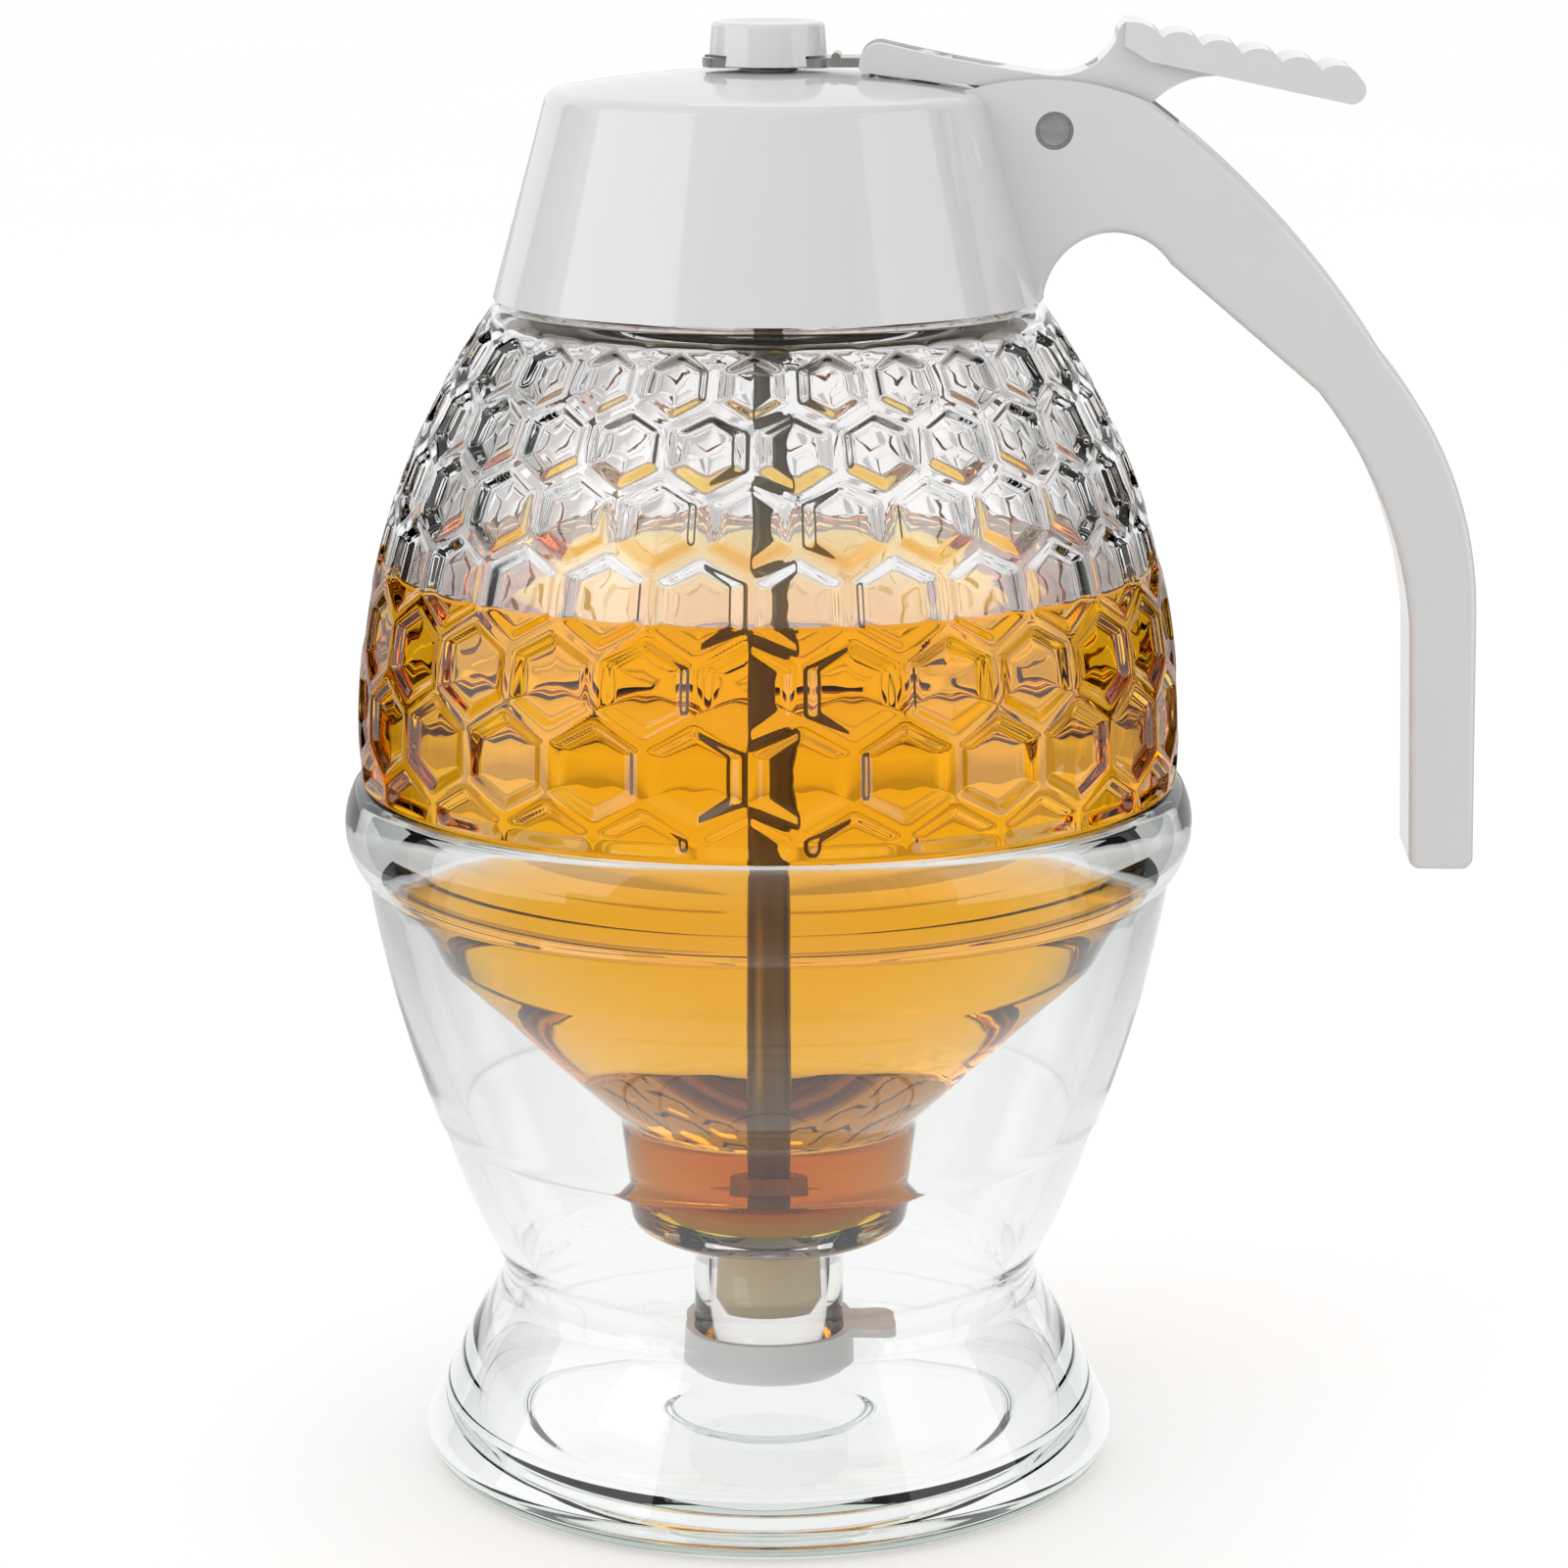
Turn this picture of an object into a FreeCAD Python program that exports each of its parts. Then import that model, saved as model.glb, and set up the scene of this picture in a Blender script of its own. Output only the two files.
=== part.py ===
import FreeCAD, Part
import math
import os

from FreeCAD import Vector

os.makedirs("parts", exist_ok=True)

# Honey dispenser: a glass jar with honeycomb cells that hangs in a glass stand,
# a lid with a handle and a thumb trigger, and a rod that lifts a stopper out of the spout.
# Millimetres. +Z is up, the origin is the centre of the stand's underside, the handle is at +X.

# Running fits and gaps
fit_gap = 0.05
seat_gap = 0.3
soft_gap = 0.25

# Stand
foot_r = 42.3
foot_edge_h = 4.2
foot_undercut = 2.6
floor_t = 5.0
recess_r = 31.0
recess_h = 1.2
foot_pad_r = 12.0
waist_r = 32.7
waist_h = 24.0
waist_lip = 1.0
step_r = 39.9
step_h = 42.8
step_out = 0.7
stand_wall = 3.0
rim_lip = 1.8
rim_h = 11.6
rim_under = 2.6
rim_land = 2.1

# Jar
belly_r = 49.25
belly_h = 5.7
belly_arc_r = 86.1
jar_wall = 3.2
shoulder_h = 56.0
shoulder_drop = 1.1
tail_gap = 0.5
tail_wall = 2.6
tail_h = 20.8
tail_r = 39.8
funnel_h = 42.2
funnel_r = 19.4
sump_h = 11.6
sump_taper = 2.4
sump_floor_t = 2.2
spout_r = 9.2
spout_bore_r = 6.9
spout_len = 16.5
neck_wall = 2.4
neck_h = 20.6

# Honeycomb cells on the belly
cell_count = 26
cell_rows = 6
cell_first_deg = 2.82
cell_row_ratio = 0.81
cell_ridge = 2.0
cell_depth = 0.9
cell_draft = 0.7

# Screw thread between jar and lid
thread_pitch = 4.5
thread_depth = 1.1
thread_crest = 1.2
thread_root = 1.9
thread_start_h = 7.2
jar_thread_turns = 0.9
thread_start_deg = 18.0
lid_thread_turns = 0.7

# Lid
lid_taper = 6.18
lid_overhang = 0.55
lid_gap = 0.6
lid_wall = 2.0
lid_plate_t = 2.2
lid_edge_r = 1.6
lid_dome_h = 2.2
skirt_t = 1.6
skirt_inset = 0.6
skirt_short = 2.6
gasket_t = 1.5
gasket_w = 2.8

# Handle
handle_w = 14.0
handle_root = 6.4
lid_foot_gap = 0.3
handle_edge_r = 0.9
slot_w = 10.6
grip_reach = 57.9
grip_t = 7.6
grip_end_drop = 91.6
grip_top_drop = 60.4
pin_out = 7.1
pin_drop = 4.3

# Pivot pin and its two sleeves
pin_r = 1.75
pin_recess = 0.5
sleeve_r = 2.2

# Trigger lever
lever_w = 10.0
lever_hub_r = 4.6
lever_tip_x = 10.7
lever_cheek_t = 1.5
lever_lift_gap = 0.4
grip_pad_reach = 14.8
grip_pad_len = 27.4
grip_pad_rise = 8.4
grip_pad_fall = 0.205
grip_pad_t = 3.1
scallops = 6
scallop_h = 1.1
pad_w = 14.0

# Lift fork and rivets
fork_t = 1.1
fork_head_r = 7.9
fork_w = 6.4
fork_head_w = 9.6
fork_tail_x = 21.5
fork_slot_gap = 0.55
rivet_r = 1.2
rivet_head_r = 1.9
rivet_floor_t = 0.5
rivet_foot_t = 0.35
rivet_head_h = 0.9
rivet_x = 13.6
rivet_pitch = 4.8

# Knob, rod and what is on it
rod_r = 1.75
knob_r = 6.95
knob_top_r = 6.6
knob_h = 4.95
knob_dish = 0.45
knob_groove_h = 1.2
knob_edge_r = 0.6
knob_bore_h = 3.2
bush_r = 3.6
bush_flange_r = 5.4
bush_flange_t = 1.2
bush_below = 2.8
bush_above = 0.1
rod_seal_r = 2.9
rod_seal_t = 1.2
washer_t = 0.8
washer_r = 5.2
spring_wire_r = 0.4
spring_r = 3.7
spring_len = 26.4
spring_curls = 9
clip_t = 0.6
clip_r = 3.6
clip_groove = 0.45
stopper_head_r = 8.6
stopper_head_h = 2.2
stopper_plug_r = 6.2
stopper_plug_len = 10.0
stopper_grip = 7.0
nut_flats = 5.5
nut_h = 2.4

# Spout cap
cap_wall = 0.95
cap_floor_t = 1.8
cap_cover = 4.7
cap_gap = 5.3
cap_edge_r = 2.6
cap_inside_gap = 0.5
tab_len = 5.2
tab_w = 4.4
tab_t = 0.9

# Heights that follow from the stack of pieces
cap_z = floor_t + cap_gap
spout_z = cap_z + cap_floor_t + cap_inside_gap
sump_floor_z = spout_z + spout_len + sump_floor_t
sump_top_z = sump_floor_z + sump_h
seat_z = sump_top_z + funnel_h
tail_z = seat_z - tail_h
belly_z = seat_z + belly_h
shoulder_z = seat_z + shoulder_h
crown_z = shoulder_z + shoulder_drop
neck_top_z = crown_z + neck_h
lid_z = crown_z + lid_gap
lid_under_z = neck_top_z + 2 * soft_gap + gasket_t
lid_top_z = lid_under_z + lid_plate_t
pin_z = lid_top_z - pin_drop

# Radii that follow from the neighbours
belly_centre_r = belly_r - belly_arc_r
belly_drop = shoulder_z - belly_z
shoulder_r = belly_centre_r + math.sqrt(belly_arc_r ** 2 - belly_drop ** 2)
seat_r = belly_centre_r + math.sqrt(belly_arc_r ** 2 - belly_h ** 2)
rim_r = belly_r + rim_lip
rim_body_r = rim_r - rim_under
rim_inner_r = rim_body_r - rim_land + 0.5
lid_r = shoulder_r - lid_overhang
lid_top_r = lid_r - lid_taper
grip_x = lid_top_r + grip_reach
grip_pad_x = lid_top_r + grip_pad_reach
skirt_out_r = lid_top_r - skirt_inset
skirt_in_r = skirt_out_r - skirt_t
neck_r = skirt_in_r - thread_depth - 0.35
neck_in_r = neck_r - neck_wall
pin_x = lid_top_r + pin_out
cap_in_r = spout_r + fit_gap + 0.03
cap_r = cap_in_r + cap_wall
dome_z = lid_top_z + lid_dome_h
dome_r = lid_top_r - lid_edge_r
fork_z = dome_z + lever_lift_gap
knob_z = fork_z + fork_t + seat_gap - knob_groove_h
rod_top_z = knob_z + knob_bore_h


def vec(x, z, y=0.0):
    return Vector(x, y, z)


def wire_xz(points, y=0.0):
    """Closed wire in the plane of y. A pair of points is an arc: its middle and its end."""
    here = points[0]
    edges = []
    for step in list(points[1:]) + [points[0]]:
        if isinstance(step[0], tuple):
            arc = Part.Arc(vec(*here, y), vec(*step[0], y), vec(*step[1], y))
            edges.append(arc.toShape())
            here = step[1]
        elif math.dist(here, step) > 1e-6:
            edges.append(Part.makeLine(vec(*here, y), vec(*step, y)))
            here = step
    return Part.Wire(edges)


def turned(points):
    """Solid of revolution about Z of an outline of (radius, height) points."""
    face = Part.Face(wire_xz(points))
    return face.revolve(Vector(0, 0, 0), Vector(0, 0, 1), 360)


def plate_xz(points, width):
    """Outline in the XZ plane, extruded both ways along Y."""
    face = Part.Face(wire_xz(points, -width / 2))
    return face.extrude(Vector(0, width, 0))


def tube(outer, inner, low, high):
    return turned([(inner, low), (outer, low), (outer, high), (inner, high)])


def rod_y(radius, x, z, low, high):
    return Part.makeCylinder(radius, high - low, Vector(x, low, z), Vector(0, 1, 0))


def circle_point(centre, radius, angle_deg):
    angle = math.radians(angle_deg)
    return (centre[0] + radius * math.cos(angle), centre[1] + radius * math.sin(angle))


def smooth_edges(shape, wanted, radius):
    """Fillet of the edges that the test picks."""
    edges = [edge for edge in shape.Edges if wanted(edge)]
    return shape.makeFillet(radius, edges) if edges else shape


def save(name, shape):
    shape = shape.removeSplitter()
    shape.exportStep("parts/" + name + ".step")
    print(name, "valid", shape.isValid(), "solids", len(shape.Solids), "volume", round(shape.Volume, 1))


def on_dome(edge_r, edge_z, rise, radius):
    """Point at a radius on a dome, or on a dish where rise is negative."""
    sphere_r = (edge_r ** 2 + rise ** 2) / (2 * rise)
    side = 1 if rise > 0 else -1
    return (radius, edge_z + rise - sphere_r + side * math.sqrt(sphere_r ** 2 - radius ** 2))


def dome_to_axis(edge_r, edge_z, rise):
    """Arc from an edge over a dome to the axis."""
    return (on_dome(edge_r, edge_z, rise, 0.5 * edge_r), (0.0, edge_z + rise))


def dome_point(radius):
    """Point on the shallow dome of the lid's top."""
    return on_dome(dome_r, lid_top_z, lid_dome_h, radius)


def thread_ridge(root_r, crest_r, start_z, turns, sink):
    """Helical ridge with a trapezoid section; sink is how far its root runs into the wall."""
    helix = Part.makeHelix(thread_pitch, thread_pitch * turns, root_r)
    helix.translate(Vector(0, 0, start_z))
    side = 1 if crest_r > root_r else -1
    half_root = thread_root / 2
    half_crest = thread_crest / 2
    corners = [
        (root_r - side * sink, start_z - half_root),
        (root_r, start_z - half_root),
        (crest_r, start_z - half_crest),
        (crest_r, start_z + half_crest),
        (root_r, start_z + half_root),
        (root_r - side * sink, start_z + half_root),
    ]
    section = wire_xz(corners)
    ridge = Part.Wire(helix.Edges).makePipeShell([section], True, True)
    ridge.rotate(Vector(0, 0, 0), Vector(0, 0, 1), thread_start_deg)
    return ridge


# Stand
def stand_outer():
    """Outer outline of the stand from the foot up to the rim bead."""
    bell_mid = (0.5 * (foot_r + waist_r) - 0.1, 0.5 * (foot_edge_h + waist_h) + 0.1)
    bowl_mid = (0.5 * (waist_r + step_r) + 0.8, 0.5 * (waist_h + step_h) + 1.2)
    rim_low_z = seat_z - rim_h
    cup_mid = (0.5 * (step_r + rim_body_r) + 1.2, 0.5 * (step_h + rim_low_z) + 0.6)
    return [
        (foot_r - foot_undercut, 0.0),
        ((foot_r - 0.7, 1.3), (foot_r, foot_edge_h)),
        (bell_mid, (waist_r + waist_lip, waist_h - 3.2)),
        ((waist_r, waist_h), (waist_r + waist_lip, waist_h + 3.2)),
        (bowl_mid, (step_r, step_h)),
        (step_r + step_out, step_h + 0.8),
        (cup_mid, (rim_body_r, rim_low_z)),
        ((rim_r, seat_z - 0.5 * rim_h + 0.5), (rim_r - 1.2, seat_z - 0.7)),
        (rim_r - 2.2, seat_z),
    ]


def stand_inner():
    """Inner outline of the stand from the rim down to the floor."""
    rim_low_z = seat_z - rim_h
    cup_mid = (0.5 * (step_r + rim_body_r) + 1.2 - stand_wall, 0.5 * (step_h + rim_low_z) + 0.6)
    bowl_mid = (0.5 * (waist_r + step_r) + 0.8 - stand_wall, 0.5 * (waist_h + step_h) + 1.2)
    bell_mid = (0.5 * (foot_r + waist_r) - 0.3 - stand_wall, 0.5 * (foot_edge_h + waist_h) + 1.2)
    floor_r = foot_r - 2 * stand_wall
    return [
        (rim_inner_r + 0.4, seat_z),
        (rim_inner_r, seat_z - 0.6),
        (rim_body_r - stand_wall, rim_low_z),
        (cup_mid, (step_r - stand_wall, step_h)),
        (bowl_mid, (waist_r + waist_lip - stand_wall, waist_h + 3.2)),
        ((waist_r - stand_wall, waist_h), (waist_r + waist_lip - stand_wall, waist_h - 3.2)),
        (bell_mid, (floor_r + 0.8, floor_t + 2.2)),
        ((floor_r + 0.2, floor_t + 0.7), (floor_r - 1.6, floor_t)),
    ]


def glass_stand():
    """Stand with a ring groove under its floor, round a flat centre."""
    under = [
        (0.0, floor_t),
        (0.0, 0.0),
        (foot_pad_r, 0.0),
        (foot_pad_r + 1.0, recess_h),
        (recess_r - 1.0, recess_h),
        (recess_r, 0.0),
    ]
    return turned(under + stand_outer() + stand_inner())


# Jar
def belly_point(z, inset=0.0):
    rise = z - belly_z
    return (belly_centre_r + math.sqrt((belly_arc_r - inset) ** 2 - rise ** 2), z)


def jar_outer():
    """Outer outline from the lip of the neck down to the end of the spout."""
    tail_top = (rim_inner_r - tail_gap, seat_z)
    tail_mid = (0.5 * (tail_top[0] + tail_r) + 1.0, 0.5 * (seat_z + tail_z) + 0.6)
    sump_r = funnel_r - 1.0
    sump_low_r = funnel_r - sump_taper
    return [
        (neck_in_r + 0.5, neck_top_z),
        (neck_r - 0.5, neck_top_z),
        (neck_r, neck_top_z - 0.5),
        (neck_r, crown_z + 1.0),
        (neck_r + 1.0, crown_z),
        (shoulder_r - 2.3, crown_z),
        ((shoulder_r - 0.8, crown_z - 0.3), (shoulder_r, shoulder_z)),
        (belly_point(0.5 * (shoulder_z + seat_z)), (seat_r, seat_z + 0.4)),
        (seat_r - 0.4, seat_z),
        tail_top,
        (tail_mid, (tail_r, tail_z)),
        (funnel_r, sump_top_z + 1.2),
        ((sump_r + 0.1, sump_top_z), (sump_r - 0.2, sump_top_z - 1.6)),
        (sump_low_r, sump_floor_z - 0.2),
        ((sump_low_r - 0.6, sump_floor_z - 1.6), (sump_low_r - 2.2, sump_floor_z - sump_floor_t)),
        (spout_r + 1.0, sump_floor_z - sump_floor_t),
        (spout_r, sump_floor_z - sump_floor_t - 1.0),
        (spout_r, spout_z + 0.4),
        (spout_r - 0.4, spout_z),
    ]


def jar_inner():
    """Inner outline from the end of the spout up to the lip of the neck."""
    wall_x = tail_wall * 1.35
    tail_top_r = rim_inner_r - tail_gap - tail_wall
    tail_mid = (0.5 * (tail_top_r + tail_r - wall_x) + 0.9, 0.5 * (seat_z + tail_z) + 0.4)
    sump_low_r = funnel_r - sump_taper - tail_wall
    inner_shoulder_z = shoulder_z - 1.9
    low = belly_point(seat_z + 3.0, jar_wall)
    high = belly_point(inner_shoulder_z - 2.0, jar_wall)
    middle = belly_point(0.5 * (low[1] + high[1]), jar_wall)
    return [
        (spout_bore_r, spout_z),
        (spout_bore_r, sump_floor_z - sump_floor_t),
        (stopper_head_r + 0.8, sump_floor_z),
        (sump_low_r - 1.0, sump_floor_z),
        (sump_low_r, sump_floor_z + 1.0),
        (funnel_r - 1.2 - tail_wall, sump_top_z - 0.6),
        (tail_r - wall_x, tail_z + 0.6),
        (tail_mid, (tail_top_r, seat_z - 0.6)),
        low,
        (middle, high),
        ((high[0] - 1.1, inner_shoulder_z + 0.4), (high[0] - 4.2, inner_shoulder_z + 0.8)),
        (neck_in_r + 1.2, inner_shoulder_z + 0.8),
        (neck_in_r, inner_shoulder_z + 2.0),
        (neck_in_r, neck_top_z - 0.5),
    ]


def cell_row_angles():
    """Elevation angle of each row of cells on the belly's arc."""
    angle = math.radians(cell_first_deg)
    angles = []
    for _ in range(cell_rows):
        angles.append(angle)
        radius = belly_centre_r + belly_arc_r * math.cos(angle)
        pitch = 2 * math.pi * radius / cell_count
        angle += cell_row_ratio * pitch / belly_arc_r
    return angles


def cell_wire(out, pitch, scale):
    """Pointed hexagon on a plane square to X at distance out."""
    half = 0.5 * (pitch - cell_ridge) * scale
    tall = half * cell_row_ratio * 4 / 3
    corners = [(half, tall / 2), (0, tall), (-half, tall / 2), (-half, -tall / 2), (0, -tall), (half, -tall / 2)]
    points = [Vector(out, y, z) for y, z in corners]
    return Part.makePolygon(points + points[:1])


def cell_cutter(angle):
    """Tapered hexagon prism that cuts one flat pocket, placed at the row's height."""
    radius = belly_centre_r + belly_arc_r * math.cos(angle)
    pitch = 2 * math.pi * radius / cell_count
    floor = cell_wire(-cell_depth, pitch, 1 - 2 * cell_draft / pitch)
    mouth = cell_wire(cell_depth, pitch, 1 + 2 * cell_draft / pitch)
    cutter = Part.makeLoft([floor, mouth], True, True)
    cutter.rotate(Vector(0, 0, 0), Vector(0, 1, 0), -math.degrees(angle))
    cutter.translate(vec(radius, belly_z + belly_arc_r * math.sin(angle)))
    return cutter


def all_cells():
    cutters = []
    step = 360 / cell_count
    for row, angle in enumerate(cell_row_angles()):
        first = cell_cutter(angle)
        for place in range(cell_count):
            copy = first.copy()
            turn = (place + 0.5 * ((row + 1) % 2)) * step
            copy.rotate(Vector(0, 0, 0), Vector(0, 0, 1), turn)
            cutters.append(copy)
    return cutters


def glass_jar():
    body = turned(jar_outer() + jar_inner())
    start_z = crown_z + thread_start_h
    ridge = thread_ridge(neck_r, neck_r + thread_depth, start_z, jar_thread_turns, 0.5)
    return body.fuse(ridge).cut(all_cells())


# Lid with handle
def handle_points():
    """Side outline of the handle, from inside the lid's wall round the grip and back."""
    top = lid_top_z
    x0 = lid_top_r
    foot = lid_r - handle_root
    low = lid_top_z - grip_end_drop
    back = grip_x
    front = grip_x - grip_t
    knee_z = top - grip_top_drop
    return [
        (x0 - 5.0, top - 0.4),
        ((x0 + 7.2, top + 1.5), (x0 + 18.3, top - 1.2)),
        ((x0 + 31.9, top - 13.0), (x0 + 46.2, top - 31.0)),
        ((x0 + 54.3, top - 44.6), (back - 0.5, knee_z)),
        (back, low + 1.6),
        ((back - 0.4, low + 0.4), (back - 1.6, low)),
        (front + 1.6, low),
        ((front + 0.4, low + 0.4), (front, low + 1.6)),
        (front - 0.7, knee_z - 2.0),
        ((x0 + 45.7, top - 46.9), (x0 + 38.2, top - 34.5)),
        (foot + 21.0, top - 19.7),
        ((foot + 14.1, top - 16.1), (foot + 9.1, top - 18.1)),
        ((foot + 7.5, top - 20.0), (foot + 6.2, lid_z + lid_foot_gap)),
        (foot - 1.8, lid_z + lid_foot_gap),
    ]


def lever_gate():
    """Gap between the cheeks where the lever comes in over the lid's top."""
    return Part.makeBox(12.0, slot_w, 20.0, Vector(lid_top_r - 9.0, -slot_w / 2, lid_top_z - 4.0))


def lever_slot():
    """Room for the lever between the two cheeks of the handle."""
    top = lid_top_z
    x0 = lid_top_r
    points = [
        (x0 + 1.9, top + 6.0),
        (x0 + 1.9, pin_z - lever_hub_r - 0.6),
        (pin_x + lever_hub_r + 0.4, pin_z - lever_hub_r - 0.6),
        (x0 + 22.4, top - 3.6),
        (x0 + 22.4, top + 6.0),
    ]
    return plate_xz(points, slot_w)


def lid_solid():
    return turned([
        (0.0, lid_z),
        (lid_r, lid_z),
        (lid_top_r, lid_top_z - lid_edge_r),
        ((lid_top_r - 0.4 * lid_edge_r, lid_top_z - 0.25 * lid_edge_r), (dome_r, lid_top_z)),
        dome_to_axis(dome_r, lid_top_z, lid_dome_h),
    ])


def lid_hollow():
    """Space inside the lid, with the screw skirt left standing in it."""
    slope = (lid_r - lid_top_r) / (lid_top_z - lid_z)
    wall_low = lid_r - lid_wall
    meet_z = lid_top_z - (skirt_out_r + lid_wall - lid_top_r) / slope
    skirt_z = lid_z + skirt_short
    return turned([
        (0.0, lid_z - 1.0),
        (wall_low, lid_z - 1.0),
        (wall_low, lid_z),
        (skirt_out_r + 0.1, meet_z - 0.6),
        (skirt_out_r, meet_z - 0.6),
        (skirt_out_r, skirt_z),
        (skirt_in_r, skirt_z),
        (skirt_in_r, lid_under_z),
        (0.0, lid_under_z),
    ])


def lid_with_handle():
    handle = plate_xz(handle_points(), handle_w)
    outer_side = handle_w / 2

    def grip_edge(edge):
        flat = all(abs(abs(v.Point.y) - outer_side) < 1e-6 for v in edge.Vertexes)
        clear = all(v.Point.x > lid_r + 1.0 for v in edge.Vertexes)
        return flat and clear

    handle = smooth_edges(handle, grip_edge, handle_edge_r)
    body = lid_solid().fuse(handle.cut(lever_gate()))
    body = body.cut(lid_hollow())
    body = body.cut(lever_slot())
    body = body.cut(rod_y(sleeve_r, pin_x, pin_z, -handle_w, handle_w))
    body = body.cut(Part.makeCylinder(bush_r, 20, vec(0, dome_z - 10)))
    start_z = crown_z + thread_start_h - thread_pitch / 2
    ridge = thread_ridge(skirt_in_r, skirt_in_r - thread_depth, start_z, lid_thread_turns, 0.5)
    return body.fuse(ridge)


def lid_gasket():
    low = neck_top_z + soft_gap
    return tube(neck_in_r + gasket_w, neck_in_r - 0.4, low, low + gasket_t)


# Pivot
def pivot_pin():
    half = handle_w / 2 - pin_recess
    return rod_y(pin_r, pin_x, pin_z, -half, half)


def pin_sleeves():
    parts = []
    for side in (-1, 1):
        low = min(side * handle_w / 2, side * slot_w / 2)
        high = max(side * handle_w / 2, side * slot_w / 2)
        ring = rod_y(sleeve_r - 0.02, pin_x, pin_z, low, high)
        parts.append(ring.cut(rod_y(pin_r + 0.02, pin_x, pin_z, low - 1, high + 1)))
    return Part.makeCompound(parts)


# Trigger lever
def pad_top(place):
    """Height of the thumb pad's crests, along the pad."""
    return lid_top_z + grip_pad_rise - grip_pad_fall * (place - grip_pad_x)


def lever_points():
    top = lid_top_z
    low = dome_point(lever_tip_x)[1] + lever_lift_gap
    mid = dome_point(2 * lever_tip_x)
    x0 = lid_top_r
    hub = (pin_x, pin_z)
    pad_end = grip_pad_x + grip_pad_len
    crest = scallop_h
    points = [
        (lever_tip_x + 0.3, low),
        (lever_tip_x, low + 0.4),
        (lever_tip_x + 0.1, low + 1.5),
        ((lever_tip_x + 0.9, low + 2.8), (lever_tip_x + 2.7, low + 3.3)),
        ((lever_tip_x + 12.1, low + 1.3), (x0 + 5.6, top + 2.0)),
        ((x0 + 11.2, top + 2.9), (grip_pad_x - 0.7, top + 5.9)),
    ]
    pitch = grip_pad_len / scallops
    place = grip_pad_x - 0.2
    points.append(((place - 0.1, pad_top(place) - crest), (place + 0.6, pad_top(place) - 0.35)))
    for count in range(scallops):
        start = grip_pad_x + count * pitch
        middle = start + 0.5 * pitch
        stop = start + pitch
        crown = (middle, pad_top(middle))
        points.append((crown, (stop, pad_top(stop) - crest)))
    under = pad_top(pad_end) - crest - grip_pad_t
    points.append(((pad_end + 0.6, under + 0.6 * grip_pad_t), (pad_end - 1.2, under + 0.25)))
    points.append((x0 + 27.0, pad_top(x0 + 27.0) - crest - grip_pad_t + 0.1))
    points.append(((x0 + 22.2, top + 1.3), (x0 + 18.2, top - 1.4)))
    points.append(circle_point(hub, lever_hub_r, -42))
    points.append((circle_point(hub, lever_hub_r, -100), circle_point(hub, lever_hub_r, -180)))
    points.append((pin_x - lever_hub_r, top + lever_lift_gap))
    points.append((mid[0], mid[1] + lever_lift_gap))
    return points


def trigger_lever():
    body = plate_xz(lever_points(), lever_w)
    pad = pad_block()
    body = body.fuse(pad)
    channel_w = lever_w - 2 * lever_cheek_t
    channel = Part.makeBox(pin_x - lever_tip_x + 6.0, channel_w, 20)
    channel.translate(Vector(lever_tip_x - 1.0, -channel_w / 2, fork_z))
    body = body.cut(channel)
    body = body.cut(rod_y(pin_r + fit_gap, pin_x, pin_z, -lever_w, lever_w))
    for place in rivet_places():
        body = body.cut(Part.makeCylinder(rivet_r, 10, vec(place, fork_z - 8)))
        body = body.cut(Part.makeCylinder(rivet_head_r, 10, vec(place, fork_z - rivet_floor_t - 10)))
    return body


def pad_block():
    """Wider thumb pad on the end of the lever."""
    pad_end = grip_pad_x + grip_pad_len
    outline = lever_points()
    top_row = outline[7:7 + scallops]
    start = outline[6][1]
    under = pad_top(pad_end) - scallop_h - grip_pad_t
    points = [start] + top_row
    points.append(((pad_end + 0.6, under + 0.6 * grip_pad_t), (pad_end - 1.2, under + 0.25)))
    left = grip_pad_x + 3.0
    points.append((left, pad_top(left) - scallop_h - grip_pad_t + 0.1))
    points.append((grip_pad_x + 0.2, pad_top(grip_pad_x) - scallop_h - 0.6 * grip_pad_t))
    return plate_xz(points, pad_w)


# Fork and rivets
def rivet_places():
    return [rivet_x, rivet_x + rivet_pitch]


def lift_fork():
    half = fork_head_w / 2
    strip = Part.makeBox(fork_tail_x, fork_w, fork_t, Vector(0, -fork_w / 2, fork_z))
    head = Part.makeCylinder(fork_head_r, fork_t, vec(0, fork_z))
    band = Part.makeBox(2 * fork_head_r, fork_head_w, fork_t, Vector(-fork_head_r, -half, fork_z))
    fork = strip.fuse(head.common(band))
    slot_r = rod_r + fork_slot_gap
    slot = Part.makeCylinder(slot_r, fork_t, vec(slot_r * 0.6, fork_z))
    mouth = Part.makeBox(2 * fork_head_r, 2 * slot_r, fork_t, Vector(slot_r * 0.6 - 2 * fork_head_r, -slot_r, fork_z))
    fork = fork.cut(slot).cut(mouth)
    rib = rod_y(0.55, lever_tip_x - 2.7, fork_z + fork_t, -fork_w / 2 + 0.6, fork_w / 2 - 0.6)
    rib = rib.common(Part.makeBox(4, fork_w, 2, Vector(lever_tip_x - 4.7, -fork_w / 2, fork_z + fork_t - 0.2)))
    fork = fork.fuse(rib)
    for place in rivet_places():
        fork = fork.cut(Part.makeCylinder(rivet_r, 10, vec(place, fork_z - 5)))
    return fork


def fork_rivets():
    parts = []
    low = fork_z - rivet_floor_t - rivet_foot_t
    for place in rivet_places():
        shank = Part.makeCylinder(rivet_r - 0.02, fork_z + fork_t - low, vec(place, low))
        foot = Part.makeCylinder(rivet_head_r - 0.05, rivet_foot_t, vec(place, low))
        head = turned([
            (0.0, fork_z + fork_t),
            (rivet_head_r, fork_z + fork_t),
            dome_to_axis(rivet_head_r, fork_z + fork_t, rivet_head_h),
        ])
        head.translate(Vector(place, 0, 0))
        parts.append(shank.fuse(foot).fuse(head))
    return Part.makeCompound(parts)


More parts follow.
